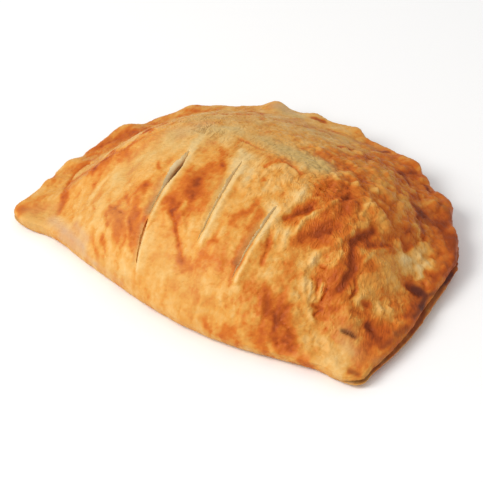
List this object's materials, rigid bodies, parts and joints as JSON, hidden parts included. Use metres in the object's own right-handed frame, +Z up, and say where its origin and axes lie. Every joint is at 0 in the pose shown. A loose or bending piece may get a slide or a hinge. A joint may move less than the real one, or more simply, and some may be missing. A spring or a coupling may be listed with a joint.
{
  "type": "bridie",
  "caption": "Half-moon puff pastry bridie with a folded front, a lobed crimped edge and slanted vent slits over a minced filling.",
  "frame": {"origin": "on the surface it rests on, under the middle of the part's box", "axes": "+Z up; +X along the folded edge, from the left ear to the right one; +Y from the folded edge towards the crimped back edge"},
  "size_m": [0.1632, 0.1272, 0.0427],
  "materials": {
    "crust": "baked puff pastry, golden to orange brown, egg-washed satin with dry flaky patches",
    "filling": "moist minced meat, dark brown"
  },
  "bodies": {
    "root": {"crust": "crust", "filling": "filling"}
  },
  "joints": []
}
